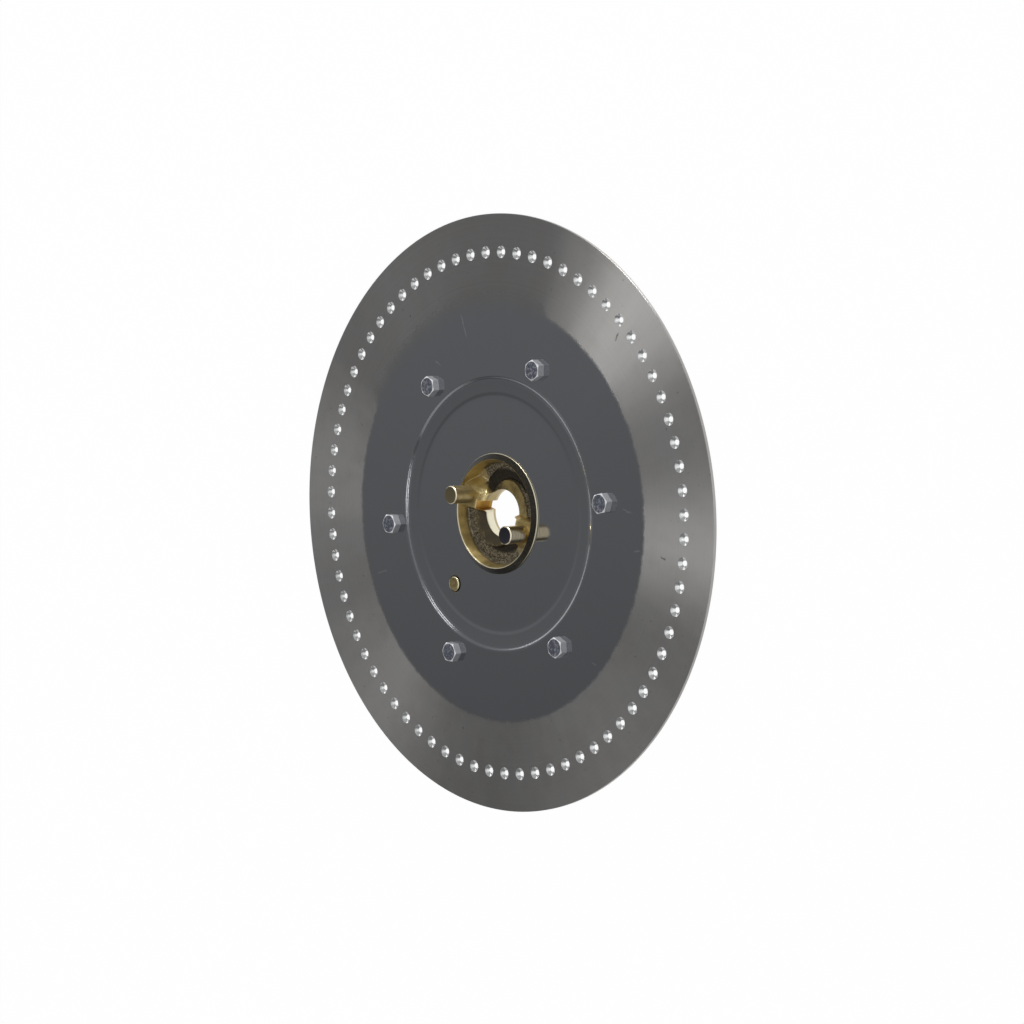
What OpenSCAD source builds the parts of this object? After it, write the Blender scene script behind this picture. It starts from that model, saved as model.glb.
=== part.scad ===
// Vacuum planter seed plate: a dished steel disc with countersunk seed holes, clamped on a cast drive hub.
// The plate lies flat with its seed face up, and the hub's back face stands on the plane z = 0.

/* [Seed plate] */
// Outer diameter of the plate
plate_d = 260; // [250:1:300]
// Thickness of the sheet
plate_t = 1.5; // [1:0.1:2]
// Broken edge round the rim, both sides
rim_break = 0.2; // [0.1:0.05:0.4]
// Number of seed holes
hole_count = 72; // [24:2:80]
// Diameter of the circle that the seed holes sit on
hole_circle_d = 227; // [200:1:236]
// Diameter of a seed hole
hole_d = 2.2; // [1.2:0.1:3]
// Diameter of a seed hole's countersink at the front face
countersink_d = 4.8; // [3.4:0.1:5.4]
// Full angle of the countersink
countersink_angle = 90; // [80:5:120]

/* [Dished centre] */
// Diameter where the flat seed face turns down into the dish
dish_d = 120.6; // [114:0.2:124]
// Depth of the dish at its middle
dish_depth = 1; // [0.4:0.1:1.2]
// Width of the curved wall round the dish
dish_wall_run = 2.4; // [2:0.1:4]
// Diameter of the flat floor that the hub clamps
dish_floor_d = 103; // [100:0.5:105]
// Fall of the shallow cone between the curved wall and the flat floor
dish_cone_fall = 0.15; // [0.05:0.05:0.3]

/* [Agitator studs] */
// Number of studs
stud_count = 6; // [3:1:8]
// Diameter of the circle that the studs sit on
stud_circle_d = 136.6; // [134:0.2:150]
// Angle of the first stud from the first seed hole
stud_angle = -1.1; // [-30:0.1:30]
// Size of a stud's hexagon across its flats
stud_flats = 8; // [6:0.1:9]
// Height of the hexagon head
stud_head_h = 3.5; // [2:0.1:5]
// Diameter of the round end face inside the chamfer
stud_face_d = 7.6; // [5:0.1:7.6]
// Angle of the chamfer from the end face
stud_chamfer_angle = 30; // [20:1:40]
// Diameter of the shank through the plate
stud_shank_d = 5; // [3:0.1:5.4]
// Clearance of the shank in its hole, on the diameter
stud_clearance = 0.1; // [0.05:0.05:0.3]
// Diameter of the peened rear end
stud_tail_d = 7.4; // [6:0.1:8]
// Height of the peened rear end
stud_tail_h = 1; // [0.6:0.1:1.6]
// How far each hexagon is turned, first stud first
stud_turns = [5, 20, 30, 50, 48, 28];

/* [Drive hub] */
// Diameter of the through bore
bore_d = 20.8; // [16:0.1:22]
// Height of the flange's seat above the hub's back face
seat_h = 7.7; // [7.5:0.1:10]
// Diameter of the flange behind the plate
flange_d = 100; // [96:0.5:102]
// Thickness of the flange
flange_t = 4; // [3:0.1:5]
// Diameter of the back face that the hub stands on
back_d = 54; // [50:0.5:60]
// Draft of the boss between the back face and the flange
back_draft = 15; // [5:1:25]
// Broken edge of the flange and the back face
flange_break = 0.5; // [0.2:0.1:0.8]
// Diameter of the spigot inside the plate's central hole
spigot_d = 50; // [49:0.1:51]
// Clearance of the spigot in the plate, on the diameter
spigot_clearance = 0.2; // [0.05:0.05:0.4]

/* [Rolled lip] */
// Outer diameter of the lip that clamps the plate
lip_d = 52.8; // [52:0.1:56]
// Height of the lip at its outer edge, above the dish floor
lip_edge_h = 0.65; // [0.2:0.05:0.8]
// Height of the lip's crest above the dish floor
lip_crest_h = 1.95; // [1:0.05:2.4]
// Diameter of the lip's mouth
lip_mouth_d = 47.2; // [46.6:0.1:47.6]
// Broken edge of the crest
lip_break = 0.3; // [0.1:0.05:0.5]

/* [Hub cup] */
// Diameter of the cup at its floor
cup_floor_d = 44; // [42:0.1:45]
// Depth of the ring round the bore, below the plate's front face
ring_depth = 3.6; // [3:0.1:4.4]
// Outer diameter of the ring round the bore
ring_d = 32.8; // [30:0.1:34]
// Fall of the ring's conical top from its outer edge to the bore
ring_fall = 1; // [0.2:0.1:1.4]
// Depth of the pockets round the ring, below the plate's front face
pocket_depth = 4.7; // [4.5:0.1:5.2]
// Depth of the hooked channel in each pocket, below the plate's front face
channel_depth = 5.6; // [5.3:0.1:6.2]
// Width of the channel
channel_w = 5.6; // [4:0.1:6]
// Radius of the channel's middle line
channel_r = 14.5; // [13:0.1:15]
// Distance from the hub's axis to the centre of that radius
channel_offset = 5.7; // [5:0.1:6.4]
// Angle of that centre from a drive pin
channel_angle = 63; // [58:0.5:68]
// Angle of the channel's inner end from a drive pin, about its own centre
channel_end_angle = 166; // [160:0.5:170]
// Angle that the channel sweeps about its own centre
channel_sweep = 90; // [60:1:100]
// Depth of the webs' tops, below the plate's front face
web_depth = 0.15; // [0:0.05:0.6]
// Angle that each web spans
web_span = 43; // [36:1:56]
// Slope of a web's leading flank
web_flank_angle = 45; // [35:1:60]
// Distance from a web's middle to the top edge of that flank, at the bore
web_flank_offset = 3.5; // [2.5:0.1:3.8]
// Turn of that edge from the web's middle
web_flank_turn = 9; // [4:0.5:14]
// Angle from a web's middle to its drive pin
web_to_pin = 5; // [-8:0.5:8]
// Width of the two driving notches in the bore
notch_w = 4.2; // [3:0.1:5]
// Distance from the axis to the end of a notch
notch_reach = 13; // [12:0.1:14]
// Angle from a drive pin to the notch beside it
notch_angle = 7.5; // [-14:0.5:14]

/* [Drive pins] */
// Diameter of a drive pin
pin_d = 8; // [6:0.1:8.2]
// Diameter of the circle that the pins sit on
pin_circle_d = 38.4; // [36:0.1:38.6]
// Angle of the first pin from the first seed hole
pin_angle = 148.1; // [90:0.1:180]
// Reach of the pins in front of the plate
pin_reach = 10.5; // [6:0.1:16]
// Depth of a pin's seat below the web's top
pin_seat_depth = 7; // [4:0.1:7]
// Chamfer at a pin's free end
pin_chamfer = 0.4; // [0.3:0.1:1.2]
// Clearance of pins and peg in their seats, on the diameter
seat_clearance = 0.02; // [0:0.01:0.05]

/* [Index peg] */
// Diameter of the peg
peg_d = 6.4; // [4:0.1:6.4]
// Diameter of the plate's hole round the peg
peg_hole_d = 7.6; // [6.8:0.1:8.4]
// Diameter of the circle that the peg sits on
peg_circle_d = 85.6; // [76:0.2:86]
// Angle of the peg from the first seed hole
peg_angle = 221.9; // [190:0.1:260]
// Rise of the peg above the dish floor
peg_rise = 0.8; // [0.6:0.1:2]
// Depth of the peg's seat in the flange
peg_seat_depth = 2.6; // [2:0.1:2.8]
// Chamfer at the peg's free end
peg_chamfer = 0.4; // [0.2:0.1:0.8]

/* [Hidden] */
$fn = 96;
// Extra length of a cutting tool past the face that it cuts
over = 1;
// Ledge that the channels leave at the foot of the cup's wall
channel_margin = 0.4;
// Steps along the dish's curved wall
wall_steps = 10;
pin_count = 2;

floor_back_z = seat_h;
floor_front_z = floor_back_z + plate_t;
front_z = floor_front_z + dish_depth;
back_z = front_z - plate_t;

dish_r = dish_d / 2;
dish_wall_drop = dish_depth - dish_cone_fall;
plate_bore_r = (spigot_d + spigot_clearance) / 2;

countersink_depth = (countersink_d - hole_d) / 2 / tan(countersink_angle / 2);

ring_z = front_z - ring_depth;
pocket_z = front_z - pocket_depth;
channel_z = front_z - channel_depth;
web_z = front_z - web_depth;
crest_z = floor_front_z + lip_crest_h;
flange_back_z = seat_h - flange_t;
back_boss_r = back_d / 2 + flange_back_z * tan(back_draft);
cup_floor_r = cup_floor_d / 2;
// Radius inside the cup's wall, where the webs are rooted
web_root_r = (lip_mouth_d + spigot_d) / 4;

pin_seat_z = web_z - pin_seat_depth;
pin_tip_z = front_z + pin_reach;
peg_seat_z = seat_h - peg_seat_depth;
peg_tip_z = floor_front_z + peg_rise;

STUDS = [for (i = [1:stud_count]) str("agitator_stud_", i)];
PINS = [for (i = [1:pin_count]) str("drive_pin_", i)];

// Drop of the sheet at a share of the way along the curved wall, from the seed face inwards
function wall_drop(share) = dish_wall_drop * (1 - cos(180 * share)) / 2;

// Front outline of the sheet from the dish's curved wall in to the edge of the central hole
function dish_points() = concat(
    [for (i = [0:wall_steps])
        [dish_r - dish_wall_run * i / wall_steps, front_z - wall_drop(i / wall_steps)]],
    [[dish_floor_d / 2, floor_front_z], [plate_bore_r, floor_front_z]]
);

module place_on_circle(circle_d, angle) {
    rotate(angle) translate([circle_d / 2, 0, 0]) children();
}

module repeat_round(count) {
    for (i = [0:count - 1]) rotate(360 * i / count) children();
}

// Round pin that stands on its seat, with a chamfer at the free end
module chamfered_pin(d, seat_z, tip_z, chamfer) {
    translate([0, 0, seat_z]) cylinder(d = d, h = tip_z - chamfer - seat_z);
    translate([0, 0, tip_z - chamfer]) cylinder(d1 = d, d2 = d - 2 * chamfer, h = chamfer);
}

module seed_hole() {
    translate([0, 0, back_z - over]) cylinder(d = hole_d, h = plate_t + 2 * over);
    translate([0, 0, front_z - countersink_depth])
        cylinder(
            d1 = hole_d,
            d2 = countersink_d + 2 * over * tan(countersink_angle / 2),
            h = countersink_depth + over
        );
}

module sheet_disc() {
    front = dish_points();
    back = [for (i = [len(front) - 1:-1:0]) front[i] - [0, plate_t]];
    rim_r = plate_d / 2;
    rim = [
        [rim_r - rim_break, back_z],
        [rim_r, back_z + rim_break],
        [rim_r, front_z - rim_break],
        [rim_r - rim_break, front_z]
    ];
    rotate_extrude() polygon(concat(front, back, rim));
}

module seed_plate() {
    color("gray") difference() {
        sheet_disc();
        repeat_round(hole_count) place_on_circle(hole_circle_d, 0) seed_hole();
        repeat_round(stud_count) place_on_circle(stud_circle_d, stud_angle)
            translate([0, 0, back_z - over])
                cylinder(d = stud_shank_d + stud_clearance, h = plate_t + 2 * over);
        place_on_circle(peg_circle_d, peg_angle)
            translate([0, 0, floor_back_z - over]) cylinder(d = peg_hole_d, h = plate_t + 2 * over);
    }
}

// Turned and cast outline of the hub: back boss, flange, spigot, rolled lip, cup and the ring round the bore
module hub_body() {
    flange_r = flange_d / 2;
    spigot_r = spigot_d / 2;
    lip_r = lip_d / 2;
    mouth_r = lip_mouth_d / 2;
    ring_r = ring_d / 2;
    ring_slope = ring_fall / (ring_r - bore_d / 2);
    rotate_extrude() polygon([
        [0, 0],
        [back_d / 2 - flange_break, 0],
        [back_d / 2, flange_break],
        [back_boss_r, flange_back_z],
        [flange_r - flange_break, flange_back_z],
        [flange_r, flange_back_z + flange_break],
        [flange_r, seat_h - flange_break],
        [flange_r - flange_break, seat_h],
        [spigot_r, seat_h],
        [spigot_r, floor_front_z],
        [lip_r, floor_front_z],
        [lip_r, floor_front_z + lip_edge_h],
        [mouth_r + lip_break, crest_z],
        [mouth_r, crest_z - lip_break],
        [cup_floor_r, pocket_z],
        [ring_r, pocket_z],
        [ring_r, ring_z],
        [0, ring_z - ring_r * ring_slope]
    ]);
}

// Space above a web's sloping leading flank
module web_flank() {
    translate([bore_d / 2, -web_flank_offset, web_z]) rotate(web_flank_turn) rotate([web_flank_angle, 0, 0])
        translate([-bore_d / 2, -web_root_r, 0])
            cube([bore_d / 2 + web_root_r, web_root_r + over, web_root_r]);
}

// Raised web from the bore to the cup's wall, centred on the X axis
module web() {
    web_tip_r = bore_d / 2 - over;
    difference() {
        rotate(-web_span / 2) rotate_extrude(angle = web_span)
            translate([web_tip_r, pocket_z - over]) square([web_root_r - web_tip_r, web_z - pocket_z + over]);
        web_flank();
    }
}

// Cast channel beside a web: an arc about a centre of its own, whose round inner end hooks through the ring
module channel() {
    cut_h = web_z - channel_z + over;
    intersection() {
        rotate(channel_angle) translate([channel_offset, 0, channel_z])
            rotate(channel_end_angle - channel_angle) {
                rotate(-channel_sweep) rotate_extrude(angle = channel_sweep)
                    translate([channel_r - channel_w / 2, 0]) square([channel_w, cut_h]);
                translate([channel_r, 0, 0]) cylinder(d = channel_w, h = cut_h);
            }
        cylinder(r = cup_floor_r - channel_margin, h = crest_z);
    }
}

module pin_seat(d, seat_z) {
    translate([0, 0, seat_z]) cylinder(d = d + seat_clearance, h = pin_tip_z - seat_z);
}

module notch() {
    translate([0, -notch_w / 2, -over]) cube([notch_reach, notch_w, web_z + 2 * over]);
}

module drive_hub() {
    web_angle = pin_angle - web_to_pin;
    color("darkgoldenrod") difference() {
        union() {
            hub_body();
            rotate(web_angle) repeat_round(pin_count) web();
        }
        translate([0, 0, -over]) cylinder(d = bore_d, h = web_z + 2 * over);
        rotate(pin_angle) repeat_round(pin_count) channel();
        rotate(pin_angle + notch_angle) repeat_round(pin_count) notch();
        repeat_round(pin_count) place_on_circle(pin_circle_d, pin_angle) pin_seat(pin_d, pin_seat_z);
        place_on_circle(peg_circle_d, peg_angle) pin_seat(peg_d, peg_seat_z);
    }
}

module drive_pin(index) {
    color("goldenrod") rotate(360 * (index - 1) / pin_count) place_on_circle(pin_circle_d, pin_angle)
        chamfered_pin(pin_d, pin_seat_z, pin_tip_z, pin_chamfer);
}

module index_peg() {
    color("gold") place_on_circle(peg_circle_d, peg_angle)
        chamfered_pin(peg_d, peg_seat_z, peg_tip_z, peg_chamfer);
}

// Hexagon head with its corners chamfered to a round end face
module stud_head(turn) {
    corner_r = stud_flats / 2 / cos(30);
    chamfer_run = stud_head_h / tan(stud_chamfer_angle);
    intersection() {
        rotate(turn) cylinder(r = corner_r, h = stud_head_h, $fn = 6);
        cylinder(r1 = stud_face_d / 2 + chamfer_run, r2 = stud_face_d / 2, h = stud_head_h);
    }
}

module agitator_stud(index) {
    turn = stud_turns[(index - 1) % len(stud_turns)];
    angle = stud_angle + 360 * (index - 1) / stud_count;
    color("silver") place_on_circle(stud_circle_d, angle) {
        translate([0, 0, front_z]) rotate(-angle) stud_head(turn);
        translate([0, 0, back_z]) cylinder(d = stud_shank_d, h = plate_t);
        translate([0, 0, back_z - stud_tail_h])
            cylinder(d1 = stud_shank_d, d2 = stud_tail_d, h = stud_tail_h);
    }
}

seed_plate();
drive_hub();
index_peg();
for (i = [1:pin_count]) drive_pin(i);
for (i = [1:stud_count]) agitator_stud(i);
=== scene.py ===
"""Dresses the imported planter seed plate: steel sheet, cast drive hub, pins, peg and agitator studs."""

import math

import bmesh
import bpy
from mathutils import Matrix, Vector


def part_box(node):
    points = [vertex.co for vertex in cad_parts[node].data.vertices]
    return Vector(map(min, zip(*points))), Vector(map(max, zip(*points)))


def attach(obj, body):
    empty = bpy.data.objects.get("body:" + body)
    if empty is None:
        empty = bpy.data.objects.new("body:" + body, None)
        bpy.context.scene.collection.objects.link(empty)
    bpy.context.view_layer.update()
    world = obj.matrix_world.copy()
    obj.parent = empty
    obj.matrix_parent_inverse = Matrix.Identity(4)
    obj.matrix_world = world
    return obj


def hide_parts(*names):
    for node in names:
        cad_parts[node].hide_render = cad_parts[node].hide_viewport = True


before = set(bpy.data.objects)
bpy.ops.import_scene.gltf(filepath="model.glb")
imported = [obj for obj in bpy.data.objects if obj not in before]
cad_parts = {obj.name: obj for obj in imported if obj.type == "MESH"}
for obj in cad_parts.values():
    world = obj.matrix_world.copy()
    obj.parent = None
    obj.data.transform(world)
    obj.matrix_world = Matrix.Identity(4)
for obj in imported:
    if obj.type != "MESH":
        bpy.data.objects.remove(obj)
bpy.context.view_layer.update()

bl_info = {
    "name": "Planter seed plate",
    "version": (1, 0, 0),
    "blender": (4, 5, 0),
    "location": "3D View > Sidebar > Seed plate",
    "description": "Builds a planter seed plate with its hub, pins, peg and studs on a plain stage",
    "category": "Add Mesh",
}

MM = 0.001
BODY = "root"
STUD_NODES = sorted(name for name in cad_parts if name.startswith("agitator_stud"))
PIN_NODES = sorted(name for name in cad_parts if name.startswith("drive_pin"))
PEG_NODE = "index_peg"
PLATE_NODE = "seed_plate"
HUB_NODE = "drive_hub"


def node_axis(node):
    """Middle of a CAD node, seen from above, in metres."""
    low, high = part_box(node)
    return (low + high) / 2


def node_top(node):
    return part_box(node)[1].z


# Sizes and colours

def length(name, description, default):
    return bpy.props.FloatProperty(
        name=name, description=description, default=default, unit="LENGTH", precision=5
    )


def angle(name, description, degrees):
    return bpy.props.FloatProperty(
        name=name, description=description, default=math.radians(degrees), subtype="ANGLE"
    )


def colour(name, description, default):
    return bpy.props.FloatVectorProperty(
        name=name, description=description, default=default, size=3, subtype="COLOR", min=0.0, max=1.0
    )


def share(name, description, default):
    return bpy.props.FloatProperty(
        name=name, description=description, default=default, min=0.0, max=1.0, subtype="FACTOR"
    )


class SeedPlateSizes(bpy.types.PropertyGroup):
    """Sizes of the perforated sheet."""

    diameter: length("Diameter", "Outer diameter of the plate", 0.26)
    thickness: length("Thickness", "Thickness of the sheet", 0.0015)
    front: length("Front height", "Height of the seed face above the hub's back", node_top(PLATE_NODE))
    rim_break: length("Rim break", "Rounded edge round the rim", 0.0002)
    hole_count: bpy.props.IntProperty(
        name="Seed holes", description="Number of seed holes", default=72, min=24
    )
    hole_circle: length("Hole circle", "Diameter of the circle that the seed holes sit on", 0.227)
    hole: length("Seed hole", "Diameter of a seed hole", 0.0022)
    countersink: length("Countersink", "Diameter of a countersink at the seed face", 0.0052)
    countersink_depth: length("Countersink depth", "Depth of a countersink", 0.0012)
    hole_band: length("Hole band", "Width of the band of sheet that carries the seed holes", 0.0064)
    ground_band: length("Ground band", "Inner diameter of the ground band round the seed holes", 0.1814)
    dish: length("Dish", "Diameter where the seed face turns down into the dish", 0.12)
    dish_depth: length("Dish depth", "Depth of the dish at its middle", 0.001)
    dish_wall: length("Dish wall", "Width of the curved wall round the dish", 0.0014)
    dish_floor: length("Dish floor", "Diameter of the flat floor of the dish", 0.103)
    dish_fall: length("Dish fall", "Fall from the foot of the dish's wall to its floor", 0.0005)
    dish_step: length("Dish step", "Part of that fall that is a soft step round the floor", 0.0002)
    bore: length("Central hole", "Diameter of the hole round the hub's spigot", 0.0502)
    peg_hole: length("Peg hole", "Diameter of the clearance hole round the index peg", 0.0076)


class DriveHubSizes(bpy.types.PropertyGroup):
    """Sizes of the cast hub."""

    bore: length("Bore", "Diameter of the through bore", 0.0208)
    notch_width: length("Notch width", "Width of the two driving notches", 0.0042)
    notch_reach: length("Notch reach", "Distance from the axis to the end of a notch", 0.013)
    notch_angle: angle("Notch angle", "Angle of the first notch", 155.6)
    ring: length("Ring", "Outer diameter of the ring round the bore", 0.0328)
    ring_height: length("Ring height", "Height of the ring's outer edge above the hub's back", 0.0066)
    ring_fall: length("Ring fall", "Fall of the ring's conical top to the bore", 0.001)
    pocket_height: length("Pocket height", "Height of the pockets' floor above the hub's back", 0.0055)
    channel_height: length("Channel height", "Height of the hooked channels' floor", 0.0046)
    channel_width: length("Channel width", "Width of a hooked channel", 0.0056)
    channel_radius: length("Channel radius", "Radius of a channel's middle line", 0.0145)
    channel_offset: length("Channel offset", "Distance from the axis to the centre of that radius", 0.0057)
    channel_angle: angle("Channel angle", "Angle of that centre from a drive pin", 63)
    channel_end: angle(
        "Channel end", "Angle of a channel's round end from a drive pin, about its own centre", 166
    )
    web_height: length("Web height", "Height of the webs' tops", 0.01005)
    web_span: angle("Web span", "Angle that each web spans", 43)
    web_angle: angle("Web angle", "Angle of the middle of the first web", 143.1)
    flank_slope: angle("Flank slope", "Slope of a web's leading flank", 45)
    flank_offset: length(
        "Flank offset", "Distance from a web's middle to the top edge of that flank", 0.0035
    )
    flank_turn: angle("Flank turn", "Turn of that edge from the web's middle", 9)
    cup_floor: length("Cup floor", "Diameter of the cup at its floor", 0.044)
    mouth: length("Mouth", "Diameter of the lip's mouth", 0.0472)
    crest_height: length("Crest height", "Height of the lip's crest", node_top(HUB_NODE))
    lip: length("Lip", "Outer diameter of the rolled lip", 0.0528)
    lip_edge_height: length("Lip edge height", "Height of the lip's outer edge", 0.00985)
    lip_seat_height: length("Lip seat height", "Height of the sheet's face under the lip", 0.0092)
    spigot: length("Spigot", "Diameter of the spigot inside the plate", 0.05)
    seat_height: length("Seat height", "Height of the flange's seat", 0.0077)
    flange: length("Flange", "Diameter of the flange behind the plate", 0.1)
    flange_thickness: length("Flange thickness", "Thickness of the flange", 0.004)
    back: length("Back face", "Diameter of the face that the hub stands on", 0.054)
    boss_root: length("Boss root", "Diameter of the back boss where it meets the flange", 0.05598)


class PinSizes(bpy.types.PropertyGroup):
    """Sizes of the drive pins and the index peg."""

    pin: length("Drive pin", "Diameter of a drive pin", 0.008)
    pin_chamfer: length("Pin chamfer", "Chamfer at a drive pin's free end", 0.0004)
    peg: length("Index peg", "Diameter of the index peg", 0.0064)
    peg_chamfer: length("Peg chamfer", "Chamfer at the peg's free end", 0.0004)
    seating: length("Seating", "How far the dressed pins reach into their seats", 0.0006)


class StudSizes(bpy.types.PropertyGroup):
    """Sizes of the agitator studs."""

    flats: length("Across flats", "Size of a hexagon across its flats", 0.008)
    head: length("Head height", "Height of the hexagon head", 0.0035)
    face: length("End face", "Diameter of the round end face inside the chamfer", 0.0076)
    chamfer: angle("Chamfer", "Angle of the chamfer from the end face", 30)
    corner: length("Corner round", "Radius of the hexagon's rounded corners", 0.00035)
    tail: length("Peened end", "Diameter of the peened rear end", 0.0074)
    tail_height: length("Peened end height", "Height of the peened rear end", 0.001)
    shank: length("Shank", "Diameter of the shank", 0.005)
    turns: bpy.props.FloatVectorProperty(
        name="Turns",
        description="How far each hexagon is turned, first stud first",
        size=6,
        default=[math.radians(turn) for turn in (5, 20, 30, 50, 48, 28)],
    )


class FinishColours(bpy.types.PropertyGroup):
    """Colours of the finishes."""

    sheet: colour("Sheet", "Rolled steel inside the ground band", (0.371, 0.381, 0.403))
    ground: colour("Ground band", "Ground steel round the seed holes", (0.429, 0.416, 0.400))
    cut: colour("Cut steel", "Freshly cut countersinks", (0.93, 0.93, 0.92))
    gold: colour("Plated casting", "Yellow plated casting of the hub", (0.50, 0.385, 0.155))
    # Grime in the hub's pockets, which also serves as painted shade in its recesses
    grime_and_shade: colour("Casting grime", "Dark film in the hub's pockets", (0.055, 0.046, 0.034))
    pin: colour("Plated pin", "Yellow plated drive pins and peg", (0.40, 0.32, 0.16))
    zinc: colour("Zinc", "Bright zinc on the studs", (0.37, 0.375, 0.39))
    # Painted dark reflection on the studs' end faces
    zinc_face_dark_reflection: colour("Stud face", "Dull end faces of the studs", (0.09, 0.095, 0.13))


class StageSettings(bpy.types.PropertyGroup):
    """Camera, lamps and background."""

    lens: bpy.props.FloatProperty(name="Lens", description="Focal length in millimetres", default=93.16)
    camera: bpy.props.FloatVectorProperty(
        name="Camera", description="Place of the camera", size=3, subtype="XYZ", unit="LENGTH",
        default=(0.85427, -0.03037, 0.78416),
    )
    target: bpy.props.FloatVectorProperty(
        name="Target", description="Point that the camera looks at", size=3, subtype="XYZ", unit="LENGTH",
        default=(0.00503, 0.00007, 0.00472),
    )
    upright: bpy.props.FloatVectorProperty(
        name="Upright", description="Direction that points up in the picture", size=3, subtype="DIRECTION",
        default=(0.08335, 0.99516, -0.05197),
    )
    horizon: share("Horizon", "Brightness of the room near the horizon, at its bright side", 1.0)
    far_horizon: share("Far horizon", "Brightness of the room near the horizon, at its dark side", 0.5)
    ceiling: share("Ceiling", "Brightness of the room overhead, at its bright side", 0.294)
    far_ceiling: share("Far ceiling", "Brightness of the room overhead, at its dark side", 0.125)
    front: share("Front", "Brightness of the room behind the camera", 1.0)
    floor_glow: share("Floor glow", "Share of the floor that shows as plain white", 0.985)


# Node building

class Value:
    """A node socket in an expression: each operator adds the Math node that it needs."""

    def __init__(self, tree, socket):
        self.tree = tree
        self.socket = socket

    def __add__(self, other):
        return self.tree.math("ADD", self, other)

    __radd__ = __add__

    def __sub__(self, other):
        return self.tree.math("SUBTRACT", self, other)

    def __rsub__(self, other):
        return self.tree.math("SUBTRACT", other, self)

    def __mul__(self, other):
        return self.tree.math("MULTIPLY", self, other)

    __rmul__ = __mul__

    def __truediv__(self, other):
        return self.tree.math("DIVIDE", self, other)

    def __rtruediv__(self, other):
        return self.tree.math("DIVIDE", other, self)

    def __pow__(self, other):
        return self.tree.math("POWER", self, other)

    def __abs__(self):
        return self.tree.math("ABSOLUTE", self)

    def ramp(self, low, high):
        """0 below low and 1 above high, with a smooth step between them."""
        return self.tree.value(
            "ShaderNodeMapRange",
            {"interpolation_type": "SMOOTHSTEP"},
            {"Value": self, "From Min": low, "From Max": high},
        )

    def fall(self, low, high):
        """1 below low and 0 above high, with a smooth step between them."""
        return 1.0 - self.ramp(low, high)


class NodeTree:
    """A node tree under construction."""

    def __init__(self, tree):
        self.tree = tree

    def node(self, kind, settings=None, inputs=None):
        """One node: its settings first, then the values or links of its sockets."""
        made = self.tree.nodes.new(kind)
        for name, setting in (settings or {}).items():
            setattr(made, name, setting)
        self.connect(made, inputs or {})
        return made

    def connect(self, node, inputs):
        """Links or sets a node's sockets."""
        for name, entry in inputs.items():
            if isinstance(entry, Value):
                self.tree.links.new(entry.socket, node.inputs[name])
            else:
                node.inputs[name].default_value = entry

    def value(self, kind, settings=None, inputs=None, output=0):
        return Value(self, self.node(kind, settings, inputs).outputs[output])

    def math(self, operation, *terms):
        return self.value("ShaderNodeMath", {"operation": operation}, dict(enumerate(terms)))

    def vector(self, operation, inputs):
        return self.value("ShaderNodeVectorMath", {"operation": operation}, inputs)

    def combine(self, x, y, z):
        return self.value("ShaderNodeCombineXYZ", None, {"X": x, "Y": y, "Z": z})

    def separate(self, vector):
        split = self.node("ShaderNodeSeparateXYZ", None, {0: vector})
        return [Value(self, output) for output in split.outputs]

    def mix(self, factor, first, second):
        """Colour between two colours."""
        inputs = {0: factor, 6: opaque(first), 7: opaque(second)}
        return self.value("ShaderNodeMix", {"data_type": "RGBA"}, inputs, 2)

    def coated(self, tint, *coats):
        """A colour with coats over it, the lowest first: each is how far it covers, and its colour."""
        for cover, coat in coats:
            tint = self.mix(cover, tint, coat)
        return tint


def opaque(tint):
    """A colour with its alpha, or a link as it is."""
    return tint if isinstance(tint, Value) else (*tint[:3], 1.0)


class Finish(NodeTree):
    """A node material under construction, measured in millimetres."""

    def __init__(self, name):
        self.material = bpy.data.materials.new(name)
        self.material.use_nodes = True
        super().__init__(self.material.node_tree)
        self.shader = self.tree.nodes["Principled BSDF"]
        place = self.value("ShaderNodeTexCoord", output="Object")
        self.place = self.vector("SCALE", {0: place, "Scale": 1 / MM})
        self.x, self.y, self.z = self.separate(self.place)
        self.r = (self.x * self.x + self.y * self.y) ** 0.5
        self.normal = self.value("ShaderNodeNewGeometry", output="Normal")

    def noise(self, scale, detail=2.0, roughness=0.5, vector=None):
        return self.value(
            "ShaderNodeTexNoise",
            None,
            {"Vector": vector or self.place, "Scale": scale, "Detail": detail, "Roughness": roughness},
        )

    def line_noise(self, along, scale, detail=2.0):
        """Noise that changes along one measure only."""
        return self.value(
            "ShaderNodeTexNoise", {"noise_dimensions": "1D"}, {"W": along, "Scale": scale, "Detail": detail}
        )

    def bump(self, height, distance, strength=1.0, normal=None):
        inputs = {"Height": height, "Distance": distance * MM, "Strength": strength}
        if normal is not None:
            inputs["Normal"] = normal
        return self.value("ShaderNodeBump", None, inputs)

    def leant_outward(self, tilt):
        """The surface's normal, leant away from the plate's axis."""
        outward = self.vector("NORMALIZE", {0: self.combine(self.x, self.y, 0.0)})
        leaning = self.vector("SCALE", {0: outward, "Scale": tilt})
        return self.vector("NORMALIZE", {0: self.vector("ADD", {0: self.normal, 1: leaning})})

    def facing_up(self):
        """1 on faces that look up, 0 on upright ones, -1 on faces that look down."""
        return self.separate(self.normal)[2]

    def towards(self, turn):
        """Cosine of the angle between a point and a direction, as seen from the axis."""
        return (self.x * math.cos(turn) + self.y * math.sin(turn)) / self.r

    def surface(self, **inputs):
        """Sets or links the shader's sockets, named with underscores for spaces."""
        self.connect(self.shader, {name.replace("_", " "): entry for name, entry in inputs.items()})
        return self.material


# Finishes

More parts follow.
